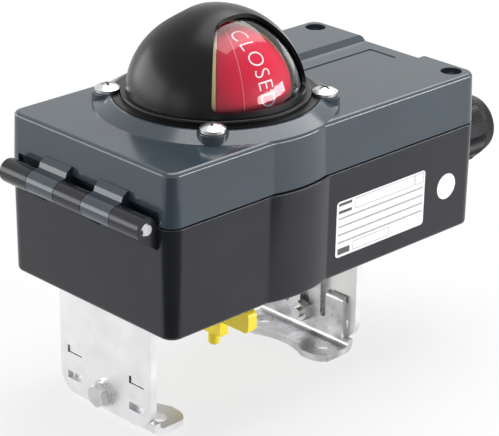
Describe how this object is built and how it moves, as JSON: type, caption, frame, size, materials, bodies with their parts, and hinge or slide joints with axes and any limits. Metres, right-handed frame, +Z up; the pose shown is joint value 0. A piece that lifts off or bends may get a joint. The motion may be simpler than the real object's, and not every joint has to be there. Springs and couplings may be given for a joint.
{
  "type": "valve limit switch box",
  "caption": "Limit switch box for a quarter-turn valve actuator: hinged cast lid, domed position indicator, cable gland, drive shaft and two steel foot brackets.",
  "frame": {"origin": "on the drive shaft's axis, in the plane of the feet's undersides", "axes": "+Z up along the drive shaft towards the indicator dome, +X towards the cable gland, hinge on the -X face"},
  "size_m": [0.1795, 0.085, 0.1348],
  "materials": {
    "lid_coating": "satin slate powder coat",
    "base_coating": "satin charcoal powder coat",
    "stainless": "pickled stainless sheet",
    "steel_bright": "bright stainless fasteners",
    "black_plastic": "glossy black",
    "clear_plastic": "clear polycarbonate",
    "red_plastic": "red indicator",
    "yellow_plastic": "yellow moulding",
    "grey_plastic": "matt grey",
    "green_board": "solder mask",
    "rubber_black": "nitrile rubber",
    "brass": "turned brass",
    "anodised": "clear anodised"
  },
  "bodies": {
    "base": {"base_housing": "base_coating", "lid_gasket": "rubber_black", "hinge_pin": "steel_bright", "lid_screw_inserts": "brass", "shaft_bush": "brass", "shaft_seal": "rubber_black", "gland_body": "black_plastic", "gland_seal": "rubber_black", "blanking_plug": "black_plastic", "circuit_board": "green_board", "board_screws": "steel_bright", "terminal_block": "grey_plastic", "terminal_screws": "brass", "sensor_closed": "grey_plastic", "sensor_open": "grey_plastic", "sensor_carrier": "stainless", "pilot_valve_body": "anodised", "solenoid_coil": "black_plastic", "valve_screws": "steel_bright", "port_inserts": "brass", "bracket_plate_front": "stainless", "bracket_plate_rear": "stainless", "foot_bracket_front": "stainless", "foot_bracket_rear": "stainless", "bracket_bolts": "steel_bright", "bracket_washers": "steel_bright", "bracket_nuts": "steel_bright", "plate_screws": "steel_bright"},
    "lid": {"lid_housing": "lid_coating", "dome_hood": "black_plastic", "dome_lens": "clear_plastic", "dome_gasket": "rubber_black", "dome_screws": "steel_bright", "stem_bush": "brass"},
    "indicator": {"rotor_hub": "black_plastic", "rotor_red": "red_plastic", "rotor_yellow": "yellow_plastic"},
    "lid_screw_near": {"lid_screw_near": "steel_bright"},
    "lid_screw_far": {"lid_screw_far": "steel_bright"},
    "shaft": {"drive_shaft": "steel_bright", "drive_coupling": "yellow_plastic", "cam_disc": "grey_plastic", "cam_targets": "steel_bright"},
    "gland_nut": {"gland_cap_nut": "black_plastic"},
    "override": {"manual_override": "yellow_plastic"}
  },
  "joints": [
    {"name": "lid_hinge", "type": "hinge", "parent": "base", "child": "lid", "pos_m": [-0.0615, 0, 0.0835], "axis": [0, -1, 0], "range_deg": [0, 110]},
    {"name": "shaft_turn", "type": "hinge", "parent": "base", "child": "shaft", "pos_m": [0, 0, 0.05], "axis": [0, 0, 1], "range_deg": [0, 90]},
    {"name": "indicator_turn", "type": "hinge", "parent": "lid", "child": "indicator", "pos_m": [0, 0, 0.1], "axis": [0, 0, 1], "range_deg": [0, 90]},
    {"name": "lid_screw_near_lift", "type": "slide", "parent": "lid", "child": "lid_screw_near", "axis": [0, 0, 1], "range_m": [0, 0.006]},
    {"name": "lid_screw_far_lift", "type": "slide", "parent": "lid", "child": "lid_screw_far", "axis": [0, 0, 1], "range_m": [0, 0.006]},
    {"name": "gland_nut_turn", "type": "hinge", "parent": "base", "child": "gland_nut", "pos_m": [0.1, -0.018, 0.0703], "axis": [1, 0, 0], "continuous": true},
    {"name": "override_press", "type": "slide", "parent": "base", "child": "override", "axis": [0, 0, -1], "range_m": [0, 0.0015], "stiffness_N_per_m": 300}
  ],
  "couplings": [
    {"joint": "indicator_turn", "follows": "shaft_turn", "ratio": 1}
  ]
}
